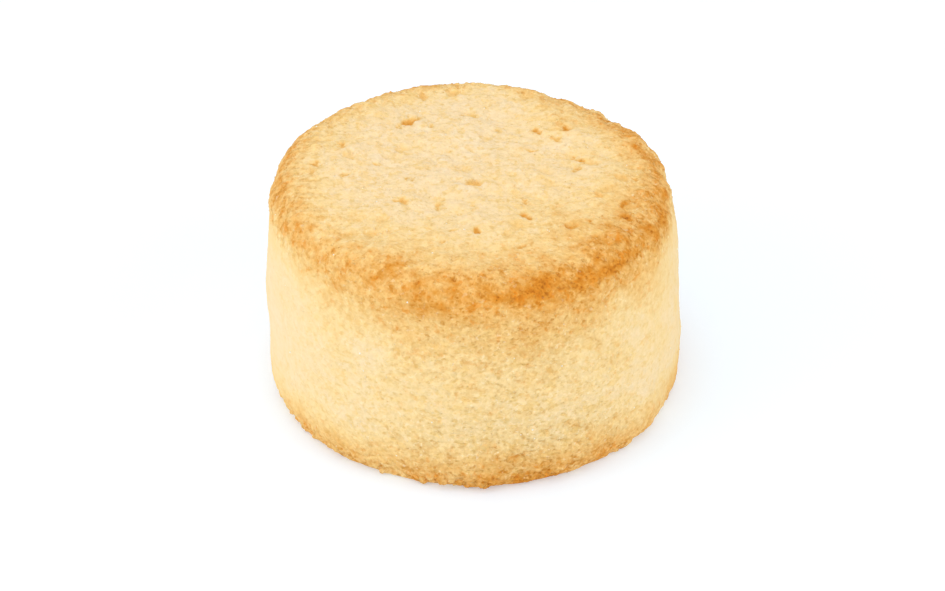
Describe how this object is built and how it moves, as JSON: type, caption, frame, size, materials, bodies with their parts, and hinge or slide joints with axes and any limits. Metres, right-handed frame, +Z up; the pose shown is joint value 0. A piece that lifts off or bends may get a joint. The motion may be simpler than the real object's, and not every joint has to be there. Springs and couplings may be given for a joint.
{
  "type": "macaroon",
  "caption": "Tall round macaroon of pale baked crumb with a browned shoulder, open pits on top and a crumbly foot; a food item that rests on its flat base.",
  "frame": {"origin": "middle of the flat base, on the surface that the macaroon rests on", "axes": "+Z up through the top face, -Y towards the viewer of the picture, +X to the viewer's right"},
  "size_m": [0.057, 0.0586, 0.0321],
  "materials": {
    "crumb": "dry matt baked crumb, pale cream, browned at the shoulder and foot"
  },
  "bodies": {
    "root": {"macaroon": "crumb"}
  },
  "joints": []
}
